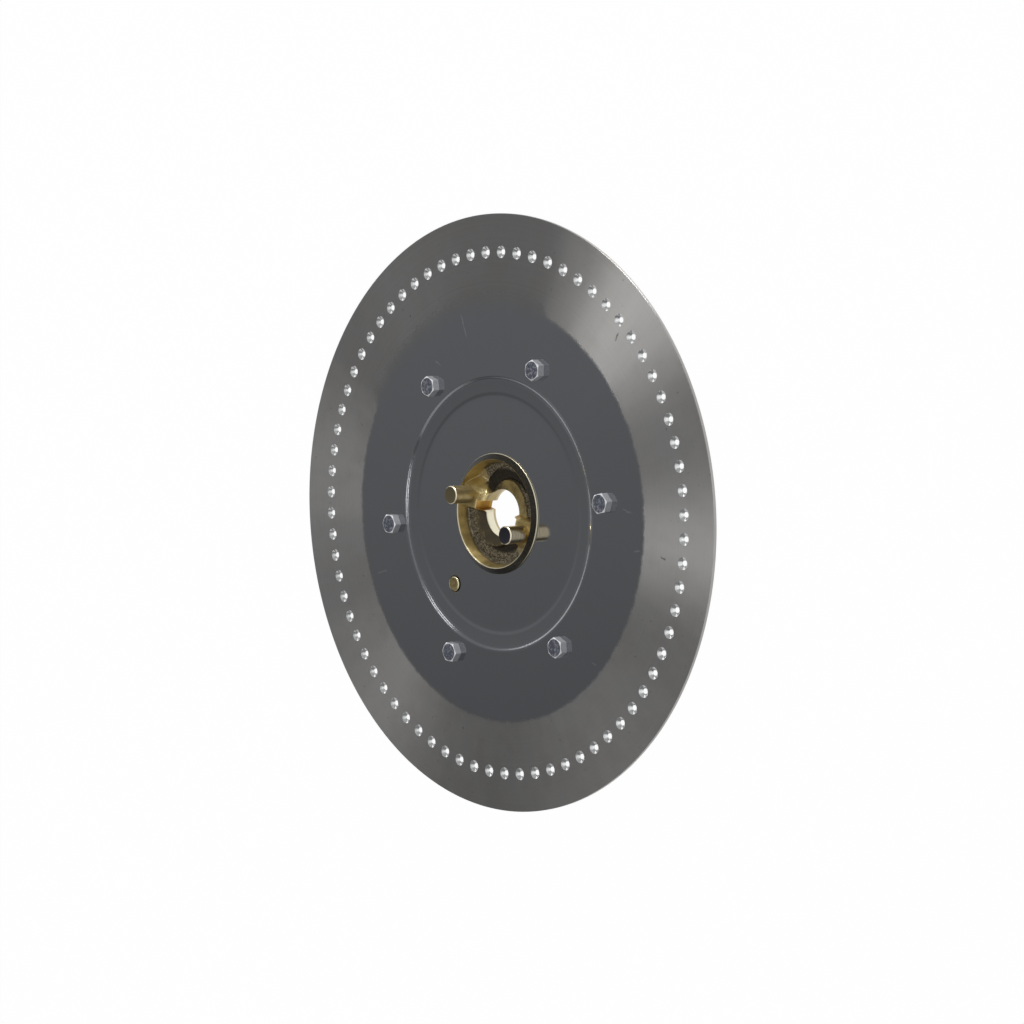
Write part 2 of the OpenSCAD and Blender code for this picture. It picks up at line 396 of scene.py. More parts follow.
# Scratches on the sheet: radius and angle of the middle, length, slant from the radius (mm and degrees)
LIGHT_SCRATCHES = (
    (87.5, -15, 4.5, 8),
    (81, -4, 6.5, -18),
    (84, 96, 13, 6),
    (82.5, 194, 8, -5),
    (86, -52, 3.5, 20),
    (75, 112, 5, 30),
)
DARK_SCRATCHES = (
    (102.5, -15, 3.5, -12),
    (107.5, 38, 5, 10),
)
LIGHT_MARK = (0.66, 0.66, 0.66)
DARK_MARK = (0.10, 0.095, 0.09)
# Middles of the two sectors of the ground band that are darkened with painted shade
WIDE_PAINTED_SHADE = math.radians(102)
NARROW_PAINTED_SHADE = math.radians(187)
# Angle from the middle of a web to the foot of its sloped flank, which stays free of the grime and painted
# shade
FLANK_FROM_WEB = math.radians(16.1)


def scratch(finish, radius, turn, size, slant):
    """1 on a thin wavering line on the sheet, 0 elsewhere."""
    turn, slant = math.radians(turn), math.radians(turn + slant)
    x = finish.x - radius * math.cos(turn)
    y = finish.y - radius * math.sin(turn)
    along = x * math.cos(slant) + y * math.sin(slant)
    across = y * math.cos(slant) - x * math.sin(slant) + (finish.noise(0.5) - 0.5) * 1.6
    return abs(across).fall(0.12, 0.5) * abs(along).fall(size * 0.25, size * 0.5)


def sheet_steel(colours, sizes):
    """Rolled sheet with a ground band round the seed holes, fine turned grain, scuffs and small marks, and
    painted shade that darkens two sectors of the band.
    """
    finish = Finish("sheet_steel")
    r = finish.r
    ground = sizes.ground_band / MM / 2
    wall_middle = sizes.dish / MM / 2 - 0.9
    cloud = finish.noise(0.03, 3.0)
    ragged = r + (finish.noise(0.22, 4.0, 0.6) - 0.5) * 2.2
    coarse = finish.line_noise(r, 0.9, 4.0)
    fine = finish.noise(2.2, 3.0)
    blotch = finish.noise(0.05, 3.0, 0.6).ramp(0.42, 0.66)
    spokes = finish.combine(finish.x / r * 16.0, finish.y / r * 16.0, r * 0.03)
    streak = finish.noise(1.0, 3.0, 0.6, spokes)
    # Painted shade: two sectors of the ground band are painted darker, and the band's edge reaches further
    # there
    painted_shade_sector = finish.towards(WIDE_PAINTED_SHADE).ramp(0.745, 0.80)
    band = ragged.ramp(ground - 1.5 - painted_shade_sector * 3.0, ground + 1.5 + painted_shade_sector * 9.0)
    painted_shade_sector = painted_shade_sector + finish.towards(NARROW_PAINTED_SHADE).ramp(0.972, 0.993) * 0.75
    scuff = finish.noise(0.55, 5.0, 0.7).ramp(0.63, 0.78) * finish.noise(0.045, 2.0).ramp(0.5, 0.66)
    speckle = finish.noise(0.42, 3.0, 0.65).ramp(0.68, 0.75) * band
    wall = abs(r - wall_middle).fall(1.2, 2.0)
    coats = [
        (band, colours.ground),
        (band * painted_shade_sector, (0.344, 0.336, 0.328)),
        ((cloud - 0.5).ramp(-0.25, 0.25) * 0.25, (0.40, 0.40, 0.41)),
        (band * blotch * 0.35, (0.33, 0.305, 0.283)),
        ((streak - 0.5).ramp(-0.3, 0.3) * (band * 0.2 + 0.08), (0.31, 0.31, 0.315)),
        ((coarse - 0.5).ramp(-0.3, 0.3) * band * 0.12, (0.54, 0.53, 0.51)),
        (scuff * 0.35, (0.58, 0.58, 0.585)),
    ]
    coats += [(scratch(finish, *line) * 0.5, LIGHT_MARK) for line in LIGHT_SCRATCHES]
    coats += [(scratch(finish, *line) * 0.8, DARK_MARK) for line in DARK_SCRATCHES]
    coats.append((speckle * 0.6, DARK_MARK))
    return finish.surface(
        Base_Color=finish.coated(colours.sheet, *coats),
        Metallic=1.0,
        Roughness=band * 0.28 + 0.07 + wall * 0.12 + scuff * 0.10 + (cloud - 0.5) * 0.02,
        Anisotropic=0.9,
        Anisotropic_Rotation=0.25,
        Normal=finish.bump(fine, 0.01, band * 0.1 + 0.1, finish.leant_outward(band * 0.05)),
    )


def cut_steel(colours):
    """Bright countersinks with faint cutter marks."""
    finish = Finish("cut_steel")
    chatter = finish.noise(1.6, 2.0)
    return finish.surface(
        Base_Color=finish.mix(chatter.ramp(0.4, 0.7), colours.cut, (0.74, 0.74, 0.74)),
        Metallic=0.85,
        Roughness=chatter * 0.08 + 0.05,
        Normal=finish.bump(finish.noise(3.0, 2.0), 0.03, 0.5),
    )


def plated_casting(colours, hub):
    """Yellow plated casting: rough skin, painted highlights on the turned bore, the crest, the lip's edge
    and the web tops, a lip painted dark as a painted dark reflection, and grime with painted shade in the
    pockets.
    """
    finish = Finish("plated_casting")
    x, y, z, r = finish.x, finish.y, finish.z, finish.r
    bore_edge, ring, mouth, lip_edge = (size / MM / 2 for size in (hub.bore, hub.ring, hub.mouth, hub.lip))
    foot, reach = hub.cup_floor / MM / 2, hub.notch_reach / MM
    pocket, ring_top, crest_top = hub.pocket_height / MM, hub.ring_height / MM, hub.crest_height / MM
    channel_floor, seat = hub.channel_height / MM, hub.lip_seat_height / MM
    skin = finish.noise(1.5, 4.0, 0.65)
    speck = finish.noise(2.3, 1.0)
    cloud = finish.noise(0.22, 3.0)
    rough = skin - 0.5

    # Where the grime and painted shade lie: pockets and channels, darker lower down in the cup, and painted
    # shade on the ring's left side
    front = z.ramp(1.5, 2.5)
    in_cup = (r + rough * 2.4).fall(foot, foot + 1.2) * front
    outside_ring = r.ramp(ring - 0.8, ring + 0.6)
    flank = finish.towards(hub.web_angle - FLANK_FROM_WEB)
    by_flank = (flank * flank * 2.0 - 1.0).ramp(0.84, 0.94) * r.ramp(ring - 0.4, ring + 1.1)
    channel = front * (z + rough * 1.2).fall(channel_floor + 0.2, pocket)
    # The channels' dark reaches further out towards +Y: painted shade
    channel = channel * (r + rough * 2.0 - y.ramp(-5.0, 5.0) * 2.2).fall(ring + 0.2, ring + 1.8)
    # Painted shade: the ring has more of the dark film towards -X than towards +X
    ring_side_shade = x.fall(-6.0, 7.0) * 0.45 + 0.5
    deep = outside_ring * (1.0 - by_flank) + ring_side_shade * (1.0 - outside_ring)
    deep = deep * z.fall(pocket + 0.3, pocket + 3.1)
    grime_shade_film = (deep + channel + rough * 0.9 + (cloud - 0.5) * 0.5).ramp(0.3, 0.9) * in_cup
    floor = (1.0 - channel) * z.fall(pocket + 0.4, ring_top) * outside_ring * in_cup

    # Edges and turned faces: a lip painted dark as a painted dark reflection, and painted highlights on the
    # lip's edge, the crest, the bore and the web tops
    # Lip painted near-black as a painted dark reflection, with lighter speckles painted only towards +X as
    # a painted sheen
    lip = r.ramp(mouth + 0.1, mouth + 0.3) * z.ramp(seat - 0.4, seat)
    lip_painted_sheen = speck.ramp(0.42, 0.62) * x.ramp(-4.0, 12.0)
    # Painted highlights: cream lines on the lip's outer edge towards +X and +Y, and on its crest towards -X
    # and -Y
    rim = r.ramp(lip_edge - 0.22, lip_edge - 0.1) * z.ramp(seat + 0.1, seat + 0.2)
    rim = rim * (x * 0.85 + y * 0.5).ramp(-6.0, 10.0)
    crest = r.ramp(mouth - 0.1, mouth) * r.fall(mouth + 0.3, mouth + 0.4)
    crest = crest * z.ramp(crest_top - 0.55, crest_top - 0.4) * (x * -0.6 - y * 0.8).ramp(-2.0, 10.0)
    bore = r.fall(bore_edge + 0.05, bore_edge + 0.3) * z.fall(ring_top - 0.4, ring_top + 0.4)
    # Bore wall: pale turned metal, painted as a cream highlight towards -Y and browner towards +Y
    bore_highlight = finish.mix(y.ramp(0.5, 4.5), (0.95, 0.90, 0.70), (0.42, 0.33, 0.16))
    upright = abs(finish.facing_up()).fall(0.25, 0.6)
    notch = upright * abs(finish.towards(hub.notch_angle)).ramp(0.955, 0.985)
    notch = notch * r.fall(reach + 0.2, reach + 0.5)
    # Painted highlight: the web tops near the bore are painted bright yellow
    nose_highlight = r.fall(reach - 0.5, reach + 2.5) * z.ramp(7.6, 8.6)
    smooth = lip + bore
    tint = finish.coated(
        colours.gold,
        (cloud.ramp(0.3, 0.7) * 0.8, (0.30, 0.22, 0.085)),
        # Grime with painted shade: a dark film in the pockets, darker lower down, and near-black in the
        # channels
        (grime_shade_film * 0.92, colours.grime_and_shade),
        (channel * speck.ramp(0.2, 0.5) * 0.85, (0.022, 0.018, 0.014)),
        (speck.ramp(0.46, 0.60) * floor * 0.6, (0.56, 0.50, 0.37)),
        (nose_highlight * skin.ramp(0.35, 0.55), (0.85, 0.70, 0.36)),
        (notch * 0.85, (0.42, 0.22, 0.03)),
        (lip, finish.mix(lip_painted_sheen, (0.028, 0.026, 0.022), (0.07, 0.06, 0.042))),
        (crest * 0.8 + rim * 0.9, (0.85, 0.77, 0.56)),
        # Painted shade band in tan at the bore's foot, below the painted highlight
        (bore, finish.mix(z.ramp(1.4, 1.8), (0.55, 0.46, 0.29), bore_highlight)),
    )
    grain = finish.bump(speck, 0.06, 0.4 * (1.0 - smooth))
    return finish.surface(
        Base_Color=tint,
        Metallic=0.75,
        Roughness=grime_shade_film * 0.2 + 0.3 + rough * 0.15 - bore * 0.1,
        Normal=finish.bump(skin, 0.22, 0.65 * (1.0 - smooth * 0.8), grain),
    )


def plated_pin(colours):
    """Plated pins with turned rings and end faces painted dark as a painted dark reflection: the first
    brown, the second nearly black, its barrel polished by wear.
    """
    finish = Finish("plated_pin")
    tip = node_top(PIN_NODES[0]) / MM
    rings = finish.line_noise(finish.z, 2.6, 3.0)
    cloud = finish.noise(0.5, 3.0)
    worn = finish.x.ramp(-2.0, 2.0)
    face = finish.z.ramp(tip - 0.15, tip - 0.08) * finish.facing_up().ramp(0.9, 0.97)
    edge = finish.z.ramp(tip - 0.5, tip - 0.4) - face
    polished = finish.mix(rings.ramp(0.42, 0.62) * 0.8, (0.86, 0.75, 0.53), (0.32, 0.25, 0.15))
    tint = finish.coated(
        colours.pin,
        (cloud.ramp(0.3, 0.75) * 0.6, (0.27, 0.205, 0.10)),
        (rings.ramp(0.45, 0.75) * 0.3, (0.20, 0.15, 0.08)),
        (worn * 0.9, polished),
        (edge * 0.9, (0.88, 0.80, 0.62)),
        # End faces painted dark as a painted dark reflection, the second pin's darkest
        (face, finish.mix(worn, (0.17, 0.14, 0.08), (0.085, 0.085, 0.10))),
    )
    return finish.surface(
        Base_Color=tint,
        Metallic=0.8 + worn * 0.2,
        Roughness=0.40 - worn * 0.2 + (cloud - 0.5) * 0.15,
        Normal=finish.bump(rings, 0.05, 0.4),
    )


def plated_peg(colours):
    """Yellow plated peg with a dull brown end and a bright edge."""
    finish = Finish("plated_peg")
    cloud = finish.noise(0.9, 3.0)
    face = finish.facing_up().ramp(0.9, 0.97)
    tint = finish.coated(
        colours.pin,
        (cloud.ramp(0.3, 0.7), (0.34, 0.26, 0.10)),
        ((1.0 - face) * finish.z.ramp(9.5, 9.6), (0.70, 0.62, 0.42)),
        (face * 0.85, finish.mix(cloud.ramp(0.4, 0.7), (0.39, 0.30, 0.125), (0.54, 0.44, 0.23))),
    )
    return finish.surface(
        Base_Color=tint,
        Metallic=1.0,
        Roughness=cloud * 0.2 + 0.24,
        Normal=finish.bump(cloud, 0.05, 0.3),
    )


def zinc_stud(colours):
    """Zinc plated studs: bright flats with drawn lines, end faces painted dark as a painted dark
    reflection, with lighter mottling.
    """
    finish = Finish("zinc_stud")
    mottle = finish.noise(0.9, 4.0, 0.65)
    lines = finish.noise(3.0, 3.0, 0.6, finish.combine(finish.x, finish.y, finish.z * 0.12))
    up = finish.facing_up()
    face = up.ramp(0.93, 0.985)
    bevel = up.ramp(0.2, 0.5) - face
    tint = finish.coated(
        colours.zinc,
        (mottle.ramp(0.35, 0.7) * 0.6, (0.25, 0.255, 0.27)),
        (bevel, (0.86, 0.87, 0.88)),
        # End faces painted dark as a painted dark reflection, with lighter mottling
        (face * 0.95, colours.zinc_face_dark_reflection),
        (face * mottle.ramp(0.5, 0.62) * 0.65, (0.41, 0.413, 0.435)),
    )
    return finish.surface(
        Base_Color=tint,
        Metallic=0.3,
        Roughness=0.22 + mottle * 0.16,
        Normal=finish.bump(lines, 0.04, 0.3, finish.bump(mottle, 0.2, face * 0.6 + 0.1)),
    )


# Meshes

# Angles above which an edge is shaded sharp, in degrees
BODY_CREASE = 35.0
SHEET_CREASE = 24.0
HUB_CREASE = 38.0
PIN_CREASE = 28.0
STUD_CREASE = 22.0
# Vertices closer than this become one, in metres
MERGE_DISTANCE = 2e-6


def vertex(bm, x, y, z):
    """One vertex, in millimetres."""
    return bm.verts.new((x * MM, y * MM, z * MM))


def loft(bm, rings, closed=False):
    """Quads between neighbouring closed rings of vertices. Returns the faces, ring by ring."""
    faces = []
    pairs = list(zip(rings, rings[1:]))
    if closed:
        pairs.append((rings[-1], rings[0]))
    for lower, upper in pairs:
        row = []
        for i in range(len(lower)):
            j = (i + 1) % len(lower)
            row.append(bm.faces.new((lower[i], lower[j], upper[j], upper[i])))
        faces.append(row)
    return faces


def circle(bm, radius, height, count, middle=(0.0, 0.0), start=0.0):
    """One ring of vertices, in millimetres."""
    ring = []
    for i in range(count):
        turn = start + math.tau * i / count
        x = middle[0] + radius * math.cos(turn)
        y = middle[1] + radius * math.sin(turn)
        ring.append(vertex(bm, x, y, height))
    return ring


def capped_loft(bm, rings):
    loft(bm, rings)
    bm.faces.new(rings[0])
    bm.faces.new(rings[-1])


def turned(bm, profile, count=64, middle=(0.0, 0.0)):
    """A solid of revolution: (radius, height) in millimetres, with both ends capped."""
    capped_loft(bm, [circle(bm, radius, height, count, middle) for radius, height in profile])


def fill_mesh(mesh, bm, crease):
    """Gives a mesh its faces, with outward normals, smooth shading and sharp creases."""
    bmesh.ops.recalc_face_normals(bm, faces=bm.faces)
    bm.to_mesh(mesh)
    bm.free()
    mesh.shade_smooth()
    mesh.set_sharp_from_angle(angle=math.radians(crease))


def finished_mesh(bm, name, crease=BODY_CREASE):
    """A mesh whose neighbouring faces share their vertices."""
    bmesh.ops.remove_doubles(bm, verts=bm.verts, dist=MERGE_DISTANCE)
    mesh = bpy.data.meshes.new(name)
    fill_mesh(mesh, bm, crease)
    return mesh


def place_object(name, mesh, material=None):
    piece = bpy.data.objects.new(name, mesh)
    bpy.context.scene.collection.objects.link(piece)
    if material is not None:
        mesh.materials.clear()
        mesh.materials.append(material)
    return piece


def dress(piece, slot, *nodes):
    """Rides the piece on the part and shows it in place of its CAD nodes."""
    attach(piece, BODY)
    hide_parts(*nodes)


def copies_tree():
    """Geometry Nodes: one copy of a shape at each point, joined to a body and merged with it."""
    group = bpy.data.node_groups.new("place_copies", "GeometryNodeTree")
    group.interface.new_socket("Points", in_out="INPUT", socket_type="NodeSocketGeometry")
    for name, kind in (
        ("Shape", "NodeSocketObject"),
        ("Body", "NodeSocketObject"),
        ("Merge Distance", "NodeSocketFloat"),
        ("Finish", "NodeSocketMaterial"),
        ("Cut Finish", "NodeSocketMaterial"),
    ):
        group.interface.new_socket(name, in_out="INPUT", socket_type=kind)
    group.interface.new_socket("Copies", in_out="OUTPUT", socket_type="NodeSocketGeometry")
    tree = NodeTree(group)
    given = {out.name: Value(tree, out) for out in tree.node("NodeGroupInput").outputs if out.name}
    turn = tree.value("GeometryNodeInputNamedAttribute", {"data_type": "FLOAT"}, {"Name": "turn"})
    rotation = tree.value("FunctionNodeEulerToRotation", None, {0: tree.combine(0.0, 0.0, turn)})
    shape = tree.value("GeometryNodeObjectInfo", None, {"Object": given["Shape"]}, "Geometry")
    body = tree.value("GeometryNodeObjectInfo", None, {"Object": given["Body"]}, "Geometry")
    copies = tree.value(
        "GeometryNodeInstanceOnPoints",
        None,
        {"Points": given["Points"], "Instance": shape, "Rotation": rotation},
    )
    solid = tree.value("GeometryNodeRealizeInstances", None, {0: copies})
    joined = tree.node("GeometryNodeJoinGeometry", None, {0: solid})
    group.links.new(body.socket, joined.inputs[0])
    merged = tree.value(
        "GeometryNodeMergeByDistance",
        None,
        {"Geometry": Value(tree, joined.outputs[0]), "Distance": given["Merge Distance"]},
    )
    painted = tree.value("GeometryNodeSetMaterial", None, {"Geometry": merged, "Material": given["Finish"]})
    cut = tree.value("GeometryNodeInputNamedAttribute", {"data_type": "INT"}, {"Name": "cut_face"})
    painted = tree.value(
        "GeometryNodeSetMaterial",
        None,
        {"Geometry": painted, "Selection": cut, "Material": given["Cut Finish"]},
    )
    tree.node("NodeGroupOutput", None, {0: painted})
    return group


def place_copies(name, shape, places, crease, finish, cut_finish=None, body=None):
    """A plain mesh piece made of copies of a shape. Places are (x, y, turn), in metres and radians."""
    group = bpy.data.node_groups.get("place_copies") or copies_tree()
    points = bpy.data.meshes.new(name + "_points")
    points.from_pydata([(x, y, 0.0) for x, y, _ in places], [], [])
    turns = points.attributes.new("turn", "FLOAT", "POINT")
    turns.data.foreach_set("value", [turn for _, _, turn in places])
    carrier = place_object(name + "_points", points)
    modifier = carrier.modifiers.new("Copies", "NODES")
    modifier.node_group = group
    entries = {
        "Shape": shape,
        "Body": body,
        "Merge Distance": MERGE_DISTANCE,
        "Finish": finish,
        "Cut Finish": cut_finish or finish,
    }
    for socket in group.interface.items_tree:
        if socket.name in entries and entries[socket.name] is not None:
            modifier[socket.identifier] = entries[socket.name]
    depsgraph = bpy.context.evaluated_depsgraph_get()
    mesh = bpy.data.meshes.new_from_object(carrier.evaluated_get(depsgraph))
    carrier.modifiers.remove(modifier)
    for helper in (carrier, shape, body):
        if helper is not None:
            bpy.data.objects.remove(helper)
    bm = bmesh.new()
    bm.from_mesh(mesh)
    fill_mesh(mesh, bm, crease)
    mesh.name = name
    return place_object(name, mesh)


class Operator(bpy.types.Operator):
    """Shared settings of the operators that build the part."""

    bl_options = {"REGISTER", "UNDO"}

    @property
    def colours(self):
        return bpy.context.scene.seed_plate_colours


# Seed plate

SEGMENTS_PER_HOLE = 6
PEG_SIDE_SEGMENTS = 6
PEG_ARC_SEGMENTS = 16
DISH_STEP_ROWS = 8
DISH_WALL_ROWS = 18
RIM_ROWS = 6
# Lengths in millimetres: half the cell round the peg hole, the soft step and its start inside the floor's
# edge, broken edges, and a length that counts as none
PEG_CELL = 6.0
DISH_STEP_WIDTH = 2.4
DISH_STEP_START = 0.4
PEG_HOLE_BREAK = 0.08
SEED_HOLE_BREAK = 0.05
NEARLY = 1e-6
# Radii of further rows of vertices on the flat parts of the sheet
FLOOR_ROW = 28.0
FACE_ROWS = (76.0, 91.0, 104.0)
OUTER_ROW = 124.0


def cell_outline(inner, outer, middle, half, arc_segments, side_segments):
    """Outline of a cell of sheet between two radii and two angles, as (x, y) in millimetres."""
    corners = []
    for i in range(arc_segments):
        corners.append((outer, middle - half + 2 * half * i / arc_segments))
    for i in range(side_segments):
        corners.append((outer + (inner - outer) * i / side_segments, middle + half))
    for i in range(arc_segments):
        corners.append((inner, middle + half - 2 * half * i / arc_segments))
    for i in range(side_segments):
        corners.append((inner + (outer - inner) * i / side_segments, middle - half))
    return [(radius * math.cos(turn), radius * math.sin(turn)) for radius, turn in corners]


def perforated_cell(bm, outline, middle, start, front, back, profile):
    """A cell of sheet with a hole in it. The profile is (radius, height), from front to back."""
    rings = [[vertex(bm, x, y, front) for x, y in outline]]
    rings += [circle(bm, radius, height, len(outline), middle, start) for radius, height in profile]
    rings.append([vertex(bm, x, y, back) for x, y in outline])
    return loft(bm, rings)


def soft_step(share):
    """Rises from 0 to 1, level at both ends."""
    return (1 - math.cos(math.pi * share)) / 2


def dish_profile(sizes):
    """Front line of the sheet as (radius, height) in millimetres, from the central hole out to the rim."""
    front = sizes.front / MM
    floor = front - sizes.dish_depth / MM
    line = [(sizes.bore / MM / 2, floor), (FLOOR_ROW, floor)]
    peg = math.hypot(*node_axis(PEG_NODE).xy) / MM
    for i in range(PEG_SIDE_SEGMENTS + 1):
        line.append((peg - PEG_CELL + 2 * PEG_CELL * i / PEG_SIDE_SEGMENTS, floor))
    step_start = sizes.dish_floor / MM / 2 - DISH_STEP_START
    for i in range(DISH_STEP_ROWS + 1):
        share = i / DISH_STEP_ROWS
        line.append((step_start + DISH_STEP_WIDTH * share, floor + sizes.dish_step / MM * soft_step(share)))
    dish = sizes.dish / MM / 2
    drop = (sizes.dish_depth - sizes.dish_fall) / MM
    for i in range(DISH_WALL_ROWS, -1, -1):
        share = i / DISH_WALL_ROWS
        line.append((dish - sizes.dish_wall / MM * share, front - drop * soft_step(share)))
    band = sizes.hole_band / MM / 2
    hole_radius = sizes.hole_circle / MM / 2
    rim = sizes.diameter / MM / 2
    edge = sizes.rim_break / MM
    face = [dish + 0.6, dish + 2.5, *FACE_ROWS, hole_radius - band, hole_radius + band, OUTER_ROW]
    line += [(radius, front) for radius in (*face, rim - 3 * edge)]
    for i in range(RIM_ROWS + 1):
        turn = math.pi / 2 * i / RIM_ROWS
        line.append((rim - edge + edge * math.sin(turn), front - edge + edge * math.cos(turn)))
    return line


class SEEDPLATE_OT_sheet(Operator):
    """Builds the dished sheet with its countersunk seed holes and the clearance hole round the peg"""

    bl_idname = "seedplate.sheet"
    bl_label = "Seed plate"

    def execute(self, context):
        sizes = context.scene.seed_plate_sizes
        hole_radius = sizes.hole_circle / MM / 2
        band = sizes.hole_band / MM / 2
        body = self.disc(sizes, hole_radius - band, hole_radius + band)
        cell = self.seed_hole_cell(sizes, hole_radius, band)
        step = math.tau / sizes.hole_count
        places = [(0.0, 0.0, step * i) for i in range(sizes.hole_count)]
        finishes = (sheet_steel(self.colours, sizes), cut_steel(self.colours))
        plate = place_copies("seed_plate_dressed", cell, places, SHEET_CREASE, *finishes, body)
        dress(plate, "plate_steel", PLATE_NODE)
        return {"FINISHED"}

    def disc(self, sizes, band_inner, band_outer):
        """The sheet without its band of seed holes."""
        bm = bmesh.new()
        segments = sizes.hole_count * SEGMENTS_PER_HOLE
        step = math.tau / segments
        half_hole = step * SEGMENTS_PER_HOLE / 2
        thickness = sizes.thickness / MM
        line = dish_profile(sizes)
        rim_start = (sizes.diameter / 2 - 2 * sizes.rim_break) / MM
        back_line = [(radius, height - thickness) for radius, height in line if radius < rim_start]
        rim = [(radius, height) for radius, height in line if radius >= rim_start]
        back_rim = [(radius, 2 * rim[0][1] - thickness - height) for radius, height in reversed(rim)]
        section = line + back_rim + back_line[::-1]
        rows = [circle(bm, radius, height, segments, start=-half_hole) for radius, height in section]
        peg = node_axis(PEG_NODE)
        peg_radius = math.hypot(*peg.xy) / MM
        peg_step = round((math.atan2(peg.y, peg.x) + half_hole) / step)
        window = {(peg_step - PEG_ARC_SEGMENTS // 2 + i) % segments for i in range(PEG_ARC_SEGMENTS)}
        for i in range(len(section)):
            j = (i + 1) % len(section)
            inner, outer = sorted((section[i][0], section[j][0]))
            flat = abs(section[i][1] - section[j][1]) < NEARLY
            if flat and inner > band_inner - NEARLY and outer < band_outer + NEARLY:
                continue
            by_peg = flat and abs((inner + outer) / 2 - peg_radius) < PEG_CELL
            for k in range(segments):
                if by_peg and k in window:
                    continue
                n = (k + 1) % segments
                bm.faces.new((rows[i][k], rows[i][n], rows[j][n], rows[j][k]))
        self.peg_hole_cell(bm, sizes, peg, peg_step * step - half_hole, step * PEG_ARC_SEGMENTS / 2)
        return place_object("sheet_disc", finished_mesh(bm, "sheet_disc"))

    def peg_hole_cell(self, bm, sizes, peg, turn, half):
        """The cell of the dish's floor with the clearance hole round the peg."""
        reach = math.hypot(*peg.xy) / MM
        outline = cell_outline(
            reach - PEG_CELL, reach + PEG_CELL, turn, half, PEG_ARC_SEGMENTS, PEG_SIDE_SEGMENTS
        )
        hole = sizes.peg_hole / MM / 2
        floor = sizes.front / MM - sizes.dish_depth / MM
        back = floor - sizes.thickness / MM
        profile = [
            (hole + PEG_HOLE_BREAK, floor),
            (hole, floor - PEG_HOLE_BREAK),
            (hole, back + PEG_HOLE_BREAK),
            (hole + PEG_HOLE_BREAK, back),
        ]
        start = turn - math.radians(60)
        perforated_cell(bm, outline, (peg.x / MM, peg.y / MM), start, floor, back, profile)

    def seed_hole_cell(self, sizes, hole_radius, band):
        """One cell of the band, with its countersunk hole."""
        bm = bmesh.new()
        front = sizes.front / MM
        back = front - sizes.thickness / MM
        half = math.pi / sizes.hole_count
        outline = cell_outline(
            hole_radius - band, hole_radius + band, 0.0, half, SEGMENTS_PER_HOLE, SEGMENTS_PER_HOLE
        )
        mouth = sizes.countersink / MM / 2
        hole = sizes.hole / MM / 2
        foot = front - sizes.countersink_depth / MM
        profile = [
            (mouth + SEED_HOLE_BREAK, front),
            (mouth - 0.03, front - 0.04),
            (hole + 0.03, foot + 0.03),
            (hole, foot - 0.03),
            (hole, back + SEED_HOLE_BREAK),
            (hole + SEED_HOLE_BREAK, back),
        ]
        cut = bm.faces.layers.int.new("cut_face")
        rows = perforated_cell(bm, outline, (hole_radius, 0.0), math.radians(-45), front, back, profile)
        for row in rows[1:-1]:
            for face in row:
                face[cut] = 1
        return place_object("seed_hole_cell", finished_mesh(bm, "seed_hole_cell"))


# Drive hub

HUB_SEGMENTS = 480
CUP_ROWS = 62
# Shares of the bore's wall, and of the lip's slope, at which rows of vertices lie
BORE_ROWS = (0, 0.12, 0.3, 0.5, 0.7, 0.88, 1)
LIP_ROWS = (0.06, 0.2, 0.4, 0.6, 0.8, 0.92)
# Lengths in millimetres: rounded edges, foot of the bore's wall, radius of a row on the flange
BRIM_ROUND = 0.5
CREST_ROUND = 0.3
FLANGE_ROUND = ((0.6, 0.0), (0.15, 0.15), (0.0, 0.6))
BORE_FOOT = 0.4
FLANGE_ROW = 36.0


def smooth_max(first, second, blend):
    """The larger of two heights, with a fillet where they meet."""
    overlap = max(blend - abs(first - second), 0.0) / blend
    return max(first, second) + overlap * overlap * blend / 4


def smooth_min(first, second, blend):
    return -smooth_max(-first, -second, blend)


def wrapped(turn):
    return (turn + math.pi) % math.tau - math.pi


